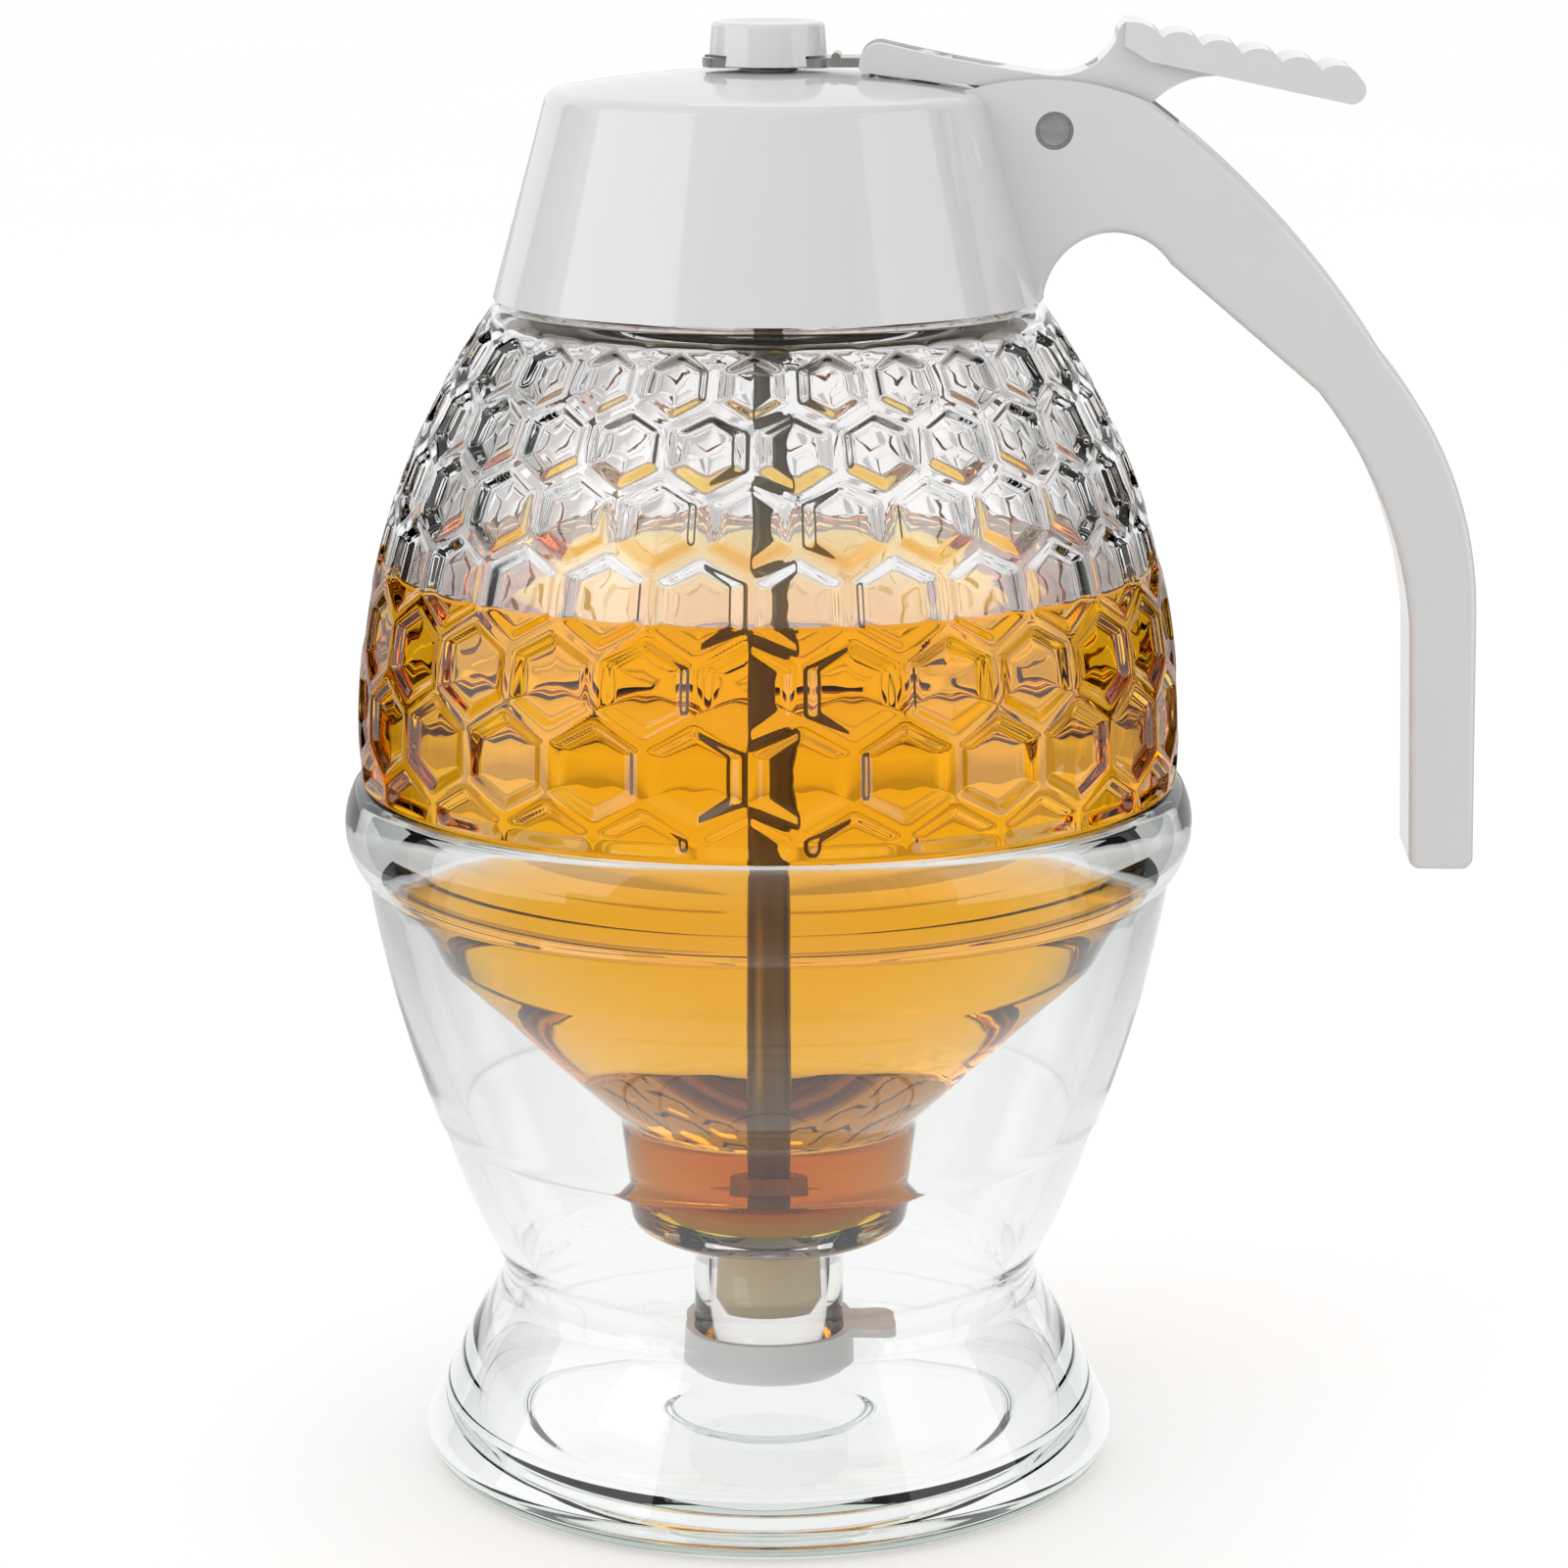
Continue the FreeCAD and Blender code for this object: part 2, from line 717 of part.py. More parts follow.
# Knob, rod and seals
def rod_knob():
    top = knob_z + knob_h
    body = turned([
        (0.0, knob_z),
        (knob_r, knob_z),
        (knob_top_r, top - knob_edge_r),
        ((knob_top_r - 0.3 * knob_edge_r, top - 0.25 * knob_edge_r), (knob_top_r - knob_edge_r, top)),
        dome_to_axis(knob_top_r - knob_edge_r, top, -knob_dish),
    ])
    groove_w = fork_head_w + 2 * seat_gap
    groove = Part.makeBox(4 * knob_r, groove_w, knob_groove_h, Vector(-2 * knob_r, -groove_w / 2, knob_z))
    bore = Part.makeCylinder(rod_r, rod_top_z - knob_z, vec(0, knob_z))
    return body.cut(groove).cut(bore)


def rod_low_z():
    return sump_floor_z + stopper_head_h - stopper_grip


def valve_rod():
    low = rod_low_z()
    body = turned([
        (0.0, low),
        (rod_r - 0.4, low),
        (rod_r, low + 0.4),
        (rod_r, clip_z()),
        (rod_r - clip_groove, clip_z()),
        (rod_r - clip_groove, clip_z() + clip_t),
        (rod_r, clip_z() + clip_t),
        (rod_r, rod_top_z - 0.3),
        (rod_r - 0.3, rod_top_z),
        (0.0, rod_top_z),
    ])
    return body


def bush_low_z():
    return lid_under_z - bush_below


def rod_bush():
    low = bush_low_z()
    under = lid_under_z
    bore = rod_r + fit_gap
    return turned([
        (rod_seal_r, low),
        (bush_flange_r, low),
        (bush_flange_r, low + bush_flange_t),
        (bush_flange_r, under),
        (bush_r - fit_gap, under),
        (bush_r - fit_gap, dome_z + bush_above - 0.3),
        (bush_r - fit_gap - 0.3, dome_z + bush_above),
        (bore, dome_z + bush_above),
        (bore, low + rod_seal_t),
        (rod_seal_r, low + rod_seal_t),
    ])


def rod_seal():
    low = bush_low_z()
    return tube(rod_seal_r - 0.02, rod_r + fit_gap, low, low + rod_seal_t)


def spring_washer():
    high = bush_low_z()
    return tube(washer_r, rod_r + 2 * fit_gap, high - washer_t, high)


def spring_top_z():
    return bush_low_z() - washer_t - soft_gap


def spring_low_z():
    return spring_top_z() - spring_len


def collar_z():
    """Underside of the washer that the spring pushes down on."""
    return spring_low_z() - soft_gap - washer_t


def clip_z():
    return collar_z() - clip_t


def rod_washer():
    return tube(washer_r, rod_r + fit_gap, collar_z(), collar_z() + washer_t)


def rod_clip():
    ring = tube(clip_r, rod_r - clip_groove + 0.02, clip_z(), clip_z() + clip_t)
    mouth = Part.makeBox(2 * clip_r, 1.6 * rod_r, clip_t, Vector(-2 * clip_r, -0.8 * rod_r, clip_z()))
    return ring.cut(mouth)


def spring_point(share, pitch_low, rise):
    """Centre of the wire at a share of the spring's turns."""
    angle = 2 * math.pi * spring_curls * share
    return Vector(spring_r * math.cos(angle), spring_r * math.sin(angle), pitch_low + rise * share)


def spring_path():
    """Biarcs along the helix, each a quarter of a turn."""
    low = spring_low_z() + spring_wire_r
    rise = spring_len - 2 * spring_wire_r
    count = 4 * spring_curls
    edges = []
    for index in range(count):
        start = spring_point(index / count, low, rise)
        stop = spring_point((index + 1) / count, low, rise)
        edges += biarc(start, spring_tangent(index / count, rise), stop, spring_tangent((index + 1) / count, rise))
    return Part.Wire(edges)


def spring_tangent(share, rise):
    angle = 2 * math.pi * spring_curls * share
    turn = 2 * math.pi * spring_curls * spring_r
    step = Vector(-math.sin(angle) * turn, math.cos(angle) * turn, rise)
    return step.normalize()


def biarc(start, leave, stop, arrive):
    """Two arcs that leave start along one direction and reach stop along the other."""
    chord = stop - start
    both = leave + arrive
    a = 2 * (1 - leave.dot(arrive))
    b = 2 * chord.dot(both)
    c = -chord.dot(chord)
    reach = -c / b if abs(a) < 1e-12 else (-b + math.sqrt(b * b - 4 * a * c)) / (2 * a)
    first = start + leave * reach
    second = stop - arrive * reach
    joint = (first + second) * 0.5
    return [tangent_arc(start, leave, joint), tangent_arc(joint, (second - first).normalize(), stop)]


def tangent_arc(start, leave, stop):
    """Arc from start along a direction to stop."""
    chord = stop - start
    normal = leave.cross(chord).cross(leave).normalize()
    radius = chord.dot(chord) / (2 * chord.dot(normal))
    centre = start + normal * radius
    middle = (start + stop) * 0.5 - centre
    return Part.Arc(start, centre + middle.normalize() * radius, stop).toShape()


def return_spring():
    path = spring_path()
    section = Part.Wire(Part.makeCircle(spring_wire_r, spring_point(0, spring_low_z() + spring_wire_r, 0),
                                        spring_tangent(0, spring_len - 2 * spring_wire_r)))
    coil = path.makePipeShell([section], True, False)
    gap = (spring_len - 2 * spring_wire_r) / spring_curls - 2 * spring_wire_r
    print("spring least gap between curls", round(gap, 2))
    return coil


# Stopper
def valve_stopper():
    """Silicone stopper: a cone in the sump's seat and a plug down the spout."""
    seat_low = sump_floor_z - sump_floor_t
    head_low = sump_floor_z + seat_gap
    top = sump_floor_z + stopper_head_h
    plug_low = seat_low - stopper_plug_len
    body = turned([
        (0.0, plug_low),
        (stopper_plug_r - 1.4, plug_low),
        (stopper_plug_r, plug_low + 1.8),
        (stopper_plug_r, seat_low + 0.2),
        (stopper_head_r, head_low),
        (stopper_head_r, top - 0.8),
        (stopper_head_r - 0.8, top),
        (0.0, top),
    ])
    low = rod_low_z()
    bore = turned([
        (0.0, low),
        (rod_r - 0.4, low),
        (rod_r, low + 0.4),
        (rod_r, top + 1.0),
        (0.0, top + 1.0),
    ])
    return body.cut(bore)


def stopper_washer():
    low = sump_floor_z + stopper_head_h
    return tube(washer_r, rod_r + 0.02, low, low + washer_t)


def stopper_nut():
    low = sump_floor_z + stopper_head_h + washer_t
    corner = nut_flats / math.sqrt(3)
    points = [circle_point((0, 0), corner, 60 * k) for k in range(6)]
    ring = Part.makePolygon([Vector(x, y, low) for x, y in points + points[:1]])
    body = Part.Face(ring).extrude(Vector(0, 0, nut_h))
    chamfer = turned([
        (0.0, low),
        (corner - 0.3, low),
        (corner, low + 0.3),
        (corner, low + nut_h - 0.3),
        (corner - 0.3, low + nut_h),
        (0.0, low + nut_h),
    ])
    return body.common(chamfer).cut(Part.makeCylinder(rod_r + 0.02, 3 * nut_h, vec(0, low - nut_h)))


# Spout cap
def spout_cap():
    floor = cap_z + cap_floor_t
    top = spout_z + cap_cover
    body = turned([
        (0.0, cap_z),
        (cap_r - cap_edge_r, cap_z),
        ((cap_r - 0.29 * cap_edge_r, cap_z + 0.29 * cap_edge_r), (cap_r, cap_z + cap_edge_r)),
        (cap_r, top),
        (cap_in_r, top),
        (cap_in_r, floor),
        (0.0, floor),
    ])
    tab = Part.makeBox(tab_len + 0.5, tab_w, tab_t, Vector(cap_r - 0.5, -tab_w / 2, top - tab_t))
    tab = smooth_edges(tab, lambda e: e.BoundBox.ZLength > 0.8 * tab_t and e.BoundBox.XMin > cap_r + 1, 1.6)
    return body.fuse(tab)


def main():
    save("glass_stand", glass_stand())
    save("glass_jar", glass_jar())
    save("lid_with_handle", lid_with_handle())
    save("lid_gasket", lid_gasket())
    save("pivot_pin", pivot_pin())
    save("pin_sleeves", pin_sleeves())
    save("trigger_lever", trigger_lever())
    save("lift_fork", lift_fork())
    save("fork_rivets", fork_rivets())
    save("rod_knob", rod_knob())
    save("valve_rod", valve_rod())
    save("rod_bush", rod_bush())
    save("rod_seal", rod_seal())
    save("spring_washer", spring_washer())
    save("return_spring", return_spring())
    save("rod_washer", rod_washer())
    save("rod_clip", rod_clip())
    save("valve_stopper", valve_stopper())
    save("stopper_washer", stopper_washer())
    save("stopper_nut", stopper_nut())
    save("spout_cap", spout_cap())


main()
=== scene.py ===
import math

import bmesh
import bpy
import numpy as np
from mathutils import Matrix, Vector


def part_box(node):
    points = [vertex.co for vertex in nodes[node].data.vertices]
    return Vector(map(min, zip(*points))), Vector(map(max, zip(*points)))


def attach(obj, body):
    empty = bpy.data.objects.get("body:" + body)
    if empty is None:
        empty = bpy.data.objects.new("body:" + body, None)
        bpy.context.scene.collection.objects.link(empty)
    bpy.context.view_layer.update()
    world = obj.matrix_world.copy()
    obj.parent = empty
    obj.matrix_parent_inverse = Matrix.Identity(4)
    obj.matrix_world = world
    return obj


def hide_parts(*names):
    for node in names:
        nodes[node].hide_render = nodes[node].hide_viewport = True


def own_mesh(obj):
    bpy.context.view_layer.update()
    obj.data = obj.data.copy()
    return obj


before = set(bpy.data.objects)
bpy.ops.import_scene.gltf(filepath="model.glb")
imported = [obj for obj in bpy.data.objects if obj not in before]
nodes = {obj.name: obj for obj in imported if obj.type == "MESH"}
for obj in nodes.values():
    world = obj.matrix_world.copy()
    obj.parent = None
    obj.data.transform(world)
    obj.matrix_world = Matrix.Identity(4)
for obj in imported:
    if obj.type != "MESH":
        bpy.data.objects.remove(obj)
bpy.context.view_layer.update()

MM = 0.001

# Camera, fitted to the photograph's 1600 pixel frame
FRAME_PX = 1600
FOCAL_PX = 4750
CAMERA_DISTANCE = 562.5 * MM
CAMERA_ELEVATION = math.radians(12.6)
CAMERA_AZIMUTH = math.radians(2.5)
TARGET_HEIGHT = 83.6 * MM
TARGET_SIDE = 1.85 * MM
SENSOR_WIDTH = 36.0

# Light, and how bright the floor and the surroundings look
KEY_WATTS = 1.4
FILL_WATTS = 0.15
TOP_WATTS = 0.5
LEFT_SOFTBOX = 2.2
RIGHT_SOFTBOX = 2.0
DARK_CARD = 0.01
WORLD_LIGHT = 0.96
WORLD_FRONT = (0.46, 0.47, 0.46)
FLOOR_GLOW = 0.22
FLOOR_SIDE_SHARE = 0.6
FLOOR_FRONT_SHARE = 0.3
FLOOR_HALF = 12.0

# Glass and honey
GLASS_IOR = 1.5
WET_GLASS_IOR = 1.01
GLASS_RIPPLE = 0.0003
GLASS_SHADOW = (0.9, 0.92, 0.91)
STAND_BODY = 45.0
STAND_BODY_COLOUR = (0.80, 0.84, 0.81)
HONEY_IOR = 1.49
HONEY_LEVEL = 110.4 * MM
HONEY_TOP_BAND = 0.05 * MM
HONEY_OVERLAP = 0.12 * MM
HONEY_DENSITY = 64.0
HONEY_COLOUR = (0.998, 0.845, 0.01)
HONEY_SHADOW = (1.0, 0.72, 0.28)
# The sump holds the same honey as the fill above. Its density and colour are raised well past the fill's,
# which paints shade onto the darker fill down in the stand.
SUMP_SHADE_DENSITY = 520.0
SUMP_SHADE_COLOUR = (0.965, 0.87, 0.05)
SUMP_TOP_LEAN = 0.9

# Steps round a turned piece and along an outline's arcs
ROUND_STEPS = 312
JAR_STEPS = 2 * ROUND_STEPS
JAR_ARC_STEPS = 14
STAND_ARC_STEPS = 16
BELLY_RINGS = 230
INNER_BELLY_POINTS = 25
ON_AXIS = 1e-6

# Jar and stand sizes
SEAT_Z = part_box("glass_stand")[1][2]
JAR_TOP_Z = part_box("glass_jar")[1][2]
BELLY_R = 49.25 * MM
BELLY_Z = SEAT_Z + 5.7 * MM
BELLY_ARC_R = 86.1 * MM
JAR_WALL = 3.2 * MM
SHOULDER_Z = SEAT_Z + 56.0 * MM
SUMP_TOP_Z = SEAT_Z - 42.4 * MM
SUMP_FLOOR_Z = SEAT_Z - 53.9 * MM
WET_LOW_Z = SEAT_Z - 54.2 * MM
WET_SLACK = 0.1 * MM
INNER_BEND = 1.2 * MM
OUTER_BEND = 1.0 * MM
STAND_DRAWN_H = 85.1
STAND_BEND = 0.6
NECK_R = 22.65 * MM
NECK_WALL = 2.4 * MM
CELL_COUNT = 26
CELL_FIRST = math.radians(2.82)
CELL_ROW_RATIO = 0.81
CELL_RIDGE = 0.55 * MM
CELL_SLOPE = 1.5 * MM
CELL_STEP = 0.52 * MM
CELL_DISH = 0.40 * MM
CELL_ROWS_ABOVE = 6
CELL_FAR_BELOW = 0.11
CELL_LOW_EDGE = 0.8 * MM
CELL_LOW_FADE = 1.2 * MM
CELL_HIGH_EDGE = 0.4 * MM
CELL_HIGH_FADE = 1.5 * MM
HEX_TALL = 0.866
THREAD_Z = SHOULDER_Z + 8.3 * MM
THREAD_PITCH = 4.5 * MM
THREAD_DEPTH = 1.1 * MM
THREAD_TURNS = 0.9
THREAD_START = math.radians(18)
THREAD_RINGS = 45
THREAD_MARGIN = 1.2 * MM
THREAD_HALF = 0.95 * MM
THREAD_FLANK = 0.35 * MM
THREAD_RUNOUT = 0.012

# Return spring
SPRING_WIRE_R = 0.4 * MM
SPRING_CURLS = 9
SPRING_STEPS = 40
SPRING_SIDES = 12


# Node helpers
def new_material(name):
    mat = bpy.data.materials.new(name)
    mat.use_nodes = True
    mat.node_tree.nodes.clear()
    return mat, mat.node_tree


def add_node(tree, kind, **values):
    node = tree.nodes.new(kind)
    for key, value in values.items():
        if key in node.inputs:
            node.inputs[key].default_value = value
        else:
            setattr(node, key, value)
    return node


def link(tree, source, target):
    tree.links.new(source, target)


def surface_output(tree, shader):
    out = tree.nodes.new("ShaderNodeOutputMaterial")
    link(tree, shader, out.inputs["Surface"])
    return out


def noise(tree, scale, detail=3.0, roughness=0.5):
    coords = tree.nodes.new("ShaderNodeTexCoord")
    node = tree.nodes.new("ShaderNodeTexNoise")
    node.inputs["Scale"].default_value = scale
    node.inputs["Detail"].default_value = detail
    node.inputs["Roughness"].default_value = roughness
    link(tree, coords.outputs["Object"], node.inputs["Vector"])
    return node


def ramp(tree, factor, low, high, start=0.0, stop=1.0):
    node = tree.nodes.new("ShaderNodeMapRange")
    node.inputs["From Min"].default_value = start
    node.inputs["From Max"].default_value = stop
    node.inputs["To Min"].default_value = low
    node.inputs["To Max"].default_value = high
    link(tree, factor, node.inputs["Value"])
    return node.outputs["Result"]


def colour_ramp(tree, factor, low, high):
    node = tree.nodes.new("ShaderNodeMix")
    node.data_type = "RGBA"
    node.inputs["A"].default_value = (*low, 1)
    node.inputs["B"].default_value = (*high, 1)
    link(tree, factor, node.inputs["Factor"])
    return node.outputs["Result"]


def bump(tree, height, distance, strength=1.0):
    node = tree.nodes.new("ShaderNodeBump")
    node.inputs["Strength"].default_value = strength
    node.inputs["Distance"].default_value = distance
    link(tree, height, node.inputs["Height"])
    return node.outputs["Normal"]


def shadow_clear(tree, shader, tint):
    """Lets light through for shadows, as thin clear glass does."""
    path = tree.nodes.new("ShaderNodeLightPath")
    clear = add_node(tree, "ShaderNodeBsdfTransparent", Color=(*tint, 1))
    mix = tree.nodes.new("ShaderNodeMixShader")
    link(tree, path.outputs["Is Shadow Ray"], mix.inputs[0])
    link(tree, shader, mix.inputs[1])
    link(tree, clear.outputs[0], mix.inputs[2])
    return mix.outputs[0]


# Materials
def glass_material(name, ior, ripple=GLASS_RIPPLE, body=0.0):
    """Moulded clear glass with faint ripples. body is how strongly its thickness takes colour."""
    mat, tree = new_material(name)
    wave = noise(tree, 55, 2.0)
    fine = noise(tree, 260, 1.0)
    shader = add_node(tree, "ShaderNodeBsdfPrincipled")
    shader.inputs["Base Color"].default_value = (1, 1, 1, 1)
    shader.inputs["Transmission Weight"].default_value = 1.0
    shader.inputs["IOR"].default_value = ior
    link(tree, ramp(tree, fine.outputs["Fac"], 0.0, 0.012, 0.3, 0.8), shader.inputs["Roughness"])
    link(tree, bump(tree, wave.outputs["Fac"], ripple, 0.25), shader.inputs["Normal"])
    out = surface_output(tree, shadow_clear(tree, shader.outputs[0], GLASS_SHADOW))
    if body:
        depth = add_node(tree, "ShaderNodeVolumeAbsorption", Density=body)
        depth.inputs["Color"].default_value = (*STAND_BODY_COLOUR, 1)
        link(tree, depth.outputs[0], out.inputs["Volume"])
    return mat


def honey_material(name, density, colour):
    """Honey: clear sides that meet the glass, a mirror-smooth top, and colour in its depth."""
    mat, tree = new_material(name)
    top = add_node(tree, "ShaderNodeBsdfGlass", IOR=HONEY_IOR, Roughness=0.0)
    side = add_node(tree, "ShaderNodeBsdfTransparent")
    place = tree.nodes.new("ShaderNodeTexCoord")
    axes = tree.nodes.new("ShaderNodeSeparateXYZ")
    link(tree, place.outputs["Object"], axes.inputs[0])
    is_top = add_node(tree, "ShaderNodeMath", operation="GREATER_THAN")
    is_top.inputs[1].default_value = HONEY_LEVEL - HONEY_TOP_BAND
    link(tree, axes.outputs["Z"], is_top.inputs[0])
    mix = tree.nodes.new("ShaderNodeMixShader")
    link(tree, is_top.outputs[0], mix.inputs[0])
    link(tree, side.outputs[0], mix.inputs[1])
    link(tree, top.outputs[0], mix.inputs[2])
    out = surface_output(tree, shadow_clear(tree, mix.outputs[0], HONEY_SHADOW))
    depth = add_node(tree, "ShaderNodeVolumeAbsorption", Density=density)
    depth.inputs["Color"].default_value = (*colour, 1)
    link(tree, depth.outputs[0], out.inputs["Volume"])
    return mat


def plastic_material(name, colour, low_rough=0.16, high_rough=0.24):
    """Moulded plastic: a slight mottle, uneven gloss and tiny surface waves."""
    mat, tree = new_material(name)
    mottle = noise(tree, 90, 4.0)
    grain = noise(tree, 900, 2.0)
    waves = noise(tree, 30, 1.0)
    shader = add_node(tree, "ShaderNodeBsdfPrincipled")
    darker = tuple(0.965 * c for c in colour)
    link(tree, colour_ramp(tree, mottle.outputs["Fac"], darker, colour), shader.inputs["Base Color"])
    link(tree, ramp(tree, grain.outputs["Fac"], low_rough, high_rough, 0.3, 0.7), shader.inputs["Roughness"])
    link(tree, bump(tree, waves.outputs["Fac"], 0.0002, 0.12), shader.inputs["Normal"])
    shader.inputs["IOR"].default_value = 1.5
    surface_output(tree, shader.outputs[0])
    return mat


def steel_material(name, colour, low_rough, high_rough, stretch):
    """Bare steel with drawn lines along one axis."""
    mat, tree = new_material(name)
    coords = tree.nodes.new("ShaderNodeTexCoord")
    mapping = tree.nodes.new("ShaderNodeMapping")
    mapping.inputs["Scale"].default_value = stretch
    link(tree, coords.outputs["Object"], mapping.inputs["Vector"])
    lines = add_node(tree, "ShaderNodeTexNoise", Scale=600.0, Detail=3.0)
    link(tree, mapping.outputs[0], lines.inputs["Vector"])
    shader = add_node(tree, "ShaderNodeBsdfPrincipled", Metallic=1.0)
    darker = tuple(0.8 * c for c in colour)
    link(tree, colour_ramp(tree, lines.outputs["Fac"], darker, colour), shader.inputs["Base Color"])
    link(tree, ramp(tree, lines.outputs["Fac"], low_rough, high_rough, 0.3, 0.7), shader.inputs["Roughness"])
    link(tree, bump(tree, lines.outputs["Fac"], 0.00004, 0.3), shader.inputs["Normal"])
    surface_output(tree, shader.outputs[0])
    return mat


def silicone_material(name, colour, clear_share):
    """Soft silicone: light soaks in, and a fine matt skin."""
    mat, tree = new_material(name)
    cloud = noise(tree, 160, 4.0)
    skin = noise(tree, 1400, 2.0)
    shader = add_node(tree, "ShaderNodeBsdfPrincipled")
    darker = tuple(0.9 * c for c in colour)
    link(tree, colour_ramp(tree, cloud.outputs["Fac"], darker, colour), shader.inputs["Base Color"])
    link(tree, ramp(tree, skin.outputs["Fac"], 0.35, 0.5, 0.3, 0.7), shader.inputs["Roughness"])
    link(tree, bump(tree, skin.outputs["Fac"], 0.00003, 0.3), shader.inputs["Normal"])
    shader.inputs["Subsurface Weight"].default_value = 0.6
    shader.inputs["Subsurface Radius"].default_value = (0.004, 0.003, 0.002)
    shader.inputs["Subsurface Scale"].default_value = 0.6
    shader.inputs["Transmission Weight"].default_value = clear_share
    surface_output(tree, shader.outputs[0])
    return mat


def set_material(obj, mat):
    obj.data.materials.clear()
    obj.data.materials.append(mat)


def add_object(name, mesh, mats, body):
    obj = bpy.data.objects.new(name, mesh)
    bpy.context.scene.collection.objects.link(obj)
    for mat in mats:
        mesh.materials.append(mat)
    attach(obj, body)
    return obj


# Outlines and turned shapes
def arc_points(start, middle, stop, steps):
    """Points along the circle through three points, without the first."""
    (ax, ay), (bx, by), (cx, cy) = start, middle, stop
    d = 2 * (ax * (by - cy) + bx * (cy - ay) + cx * (ay - by))
    aa, bb, cc = ax * ax + ay * ay, bx * bx + by * by, cx * cx + cy * cy
    ux = (aa * (by - cy) + bb * (cy - ay) + cc * (ay - by)) / d
    uy = (aa * (cx - bx) + bb * (ax - cx) + cc * (bx - ax)) / d
    radius = math.hypot(ax - ux, ay - uy)
    first = math.atan2(ay - uy, ax - ux)
    half = math.remainder(math.atan2(by - uy, bx - ux) - first, math.tau)
    full = half + math.remainder(math.atan2(cy - uy, cx - ux) - first - half, math.tau)
    out = []
    for k in range(1, steps + 1):
        angle = first + full * k / steps
        out.append((ux + radius * math.cos(angle), uy + radius * math.sin(angle)))
    return out


def traced(points, steps=10):
    """Outline points with each (middle, end) pair drawn as an arc."""
    here = points[0]
    out = [here]
    for step in points[1:]:
        if isinstance(step[0], tuple):
            out += arc_points(here, step[0], step[1], steps)
            here = step[1]
        else:
            out.append(step)
            here = step
    return out


def rounded(points, radius, steps=4):
    """Outline with each sharp corner eased by a small bend."""
    out = []
    count = len(points)
    for k, here in enumerate(points):
        before = points[k - 1] if k else None
        after = points[k + 1] if k + 1 < count else None
        if before is None or after is None:
            out.append(here)
            continue
        a = Vector(before) - Vector(here)
        b = Vector(after) - Vector(here)
        if a.length < 1e-7 or b.length < 1e-7 or a.angle(b) > math.radians(158):
            out.append(here)
            continue
        reach = min(radius, 0.45 * a.length, 0.45 * b.length)
        start = Vector(here) + a.normalized() * reach
        stop = Vector(here) + b.normalized() * reach
        for j in range(steps + 1):
            t = j / steps
            p = start * (1 - t) ** 2 + Vector(here) * (2 * t * (1 - t)) + stop * t ** 2
            out.append((p.x, p.y))
    return out


def lathe_mesh(name, outline, closed=True, steps=ROUND_STEPS, shape=None):
    """Mesh of an outline turned about Z. shape(index, radius, height, angle) gives a point's radius."""
    angles = [math.tau * k / steps for k in range(steps)]
    verts = []
    starts = []
    poles = []
    for index, (radius, height) in enumerate(outline):
        starts.append(len(verts))
        poles.append(radius < ON_AXIS)
        if poles[index]:
            verts.append((0, 0, height))
            continue
        for angle in angles:
            r = shape(index, radius, height, angle) if shape else radius
            verts.append((r * math.cos(angle), r * math.sin(angle), height))
    faces = []
    last = len(outline) - 1
    pairs = [(k, k + 1) for k in range(last)]
    if closed:
        pairs.append((last, 0))
    for a, b in pairs:
        if poles[a] and poles[b]:
            continue
        for k in range(steps):
            n = (k + 1) % steps
            if poles[a]:
                faces.append((starts[a], starts[b] + n, starts[b] + k))
            elif poles[b]:
                faces.append((starts[a] + k, starts[a] + n, starts[b]))
            else:
                faces.append((starts[a] + k, starts[a] + n, starts[b] + n, starts[b] + k))
    mesh = bpy.data.meshes.new(name)
    mesh.from_pydata(verts, [], faces)
    mesh.update()
    fix_normals(mesh)
    mesh.shade_smooth()
    return mesh


def fix_normals(mesh):
    """Turns every face of a closed mesh outwards."""
    work = bmesh.new()
    work.from_mesh(mesh)
    bmesh.ops.recalc_face_normals(work, faces=work.faces)
    work.to_mesh(mesh)
    work.free()


# Jar
def belly_radius(height, inset=0.0):
    return BELLY_R - BELLY_ARC_R + math.sqrt((BELLY_ARC_R - inset) ** 2 - (height - BELLY_Z) ** 2)


def row_marks():
    """Belly angle of each row of cells, from one mark far below and the part row upwards."""
    def pitch(angle):
        return math.tau * (BELLY_R - BELLY_ARC_R + BELLY_ARC_R * math.cos(angle)) / CELL_COUNT

    marks = [CELL_FIRST]
    for _ in range(CELL_ROWS_ABOVE):
        marks.append(marks[-1] + CELL_ROW_RATIO * pitch(marks[-1]) / BELLY_ARC_R)
    below = CELL_FIRST - CELL_ROW_RATIO * pitch(CELL_FIRST) / BELLY_ARC_R
    return [below - CELL_FAR_BELOW, below] + marks


ROWS = row_marks()


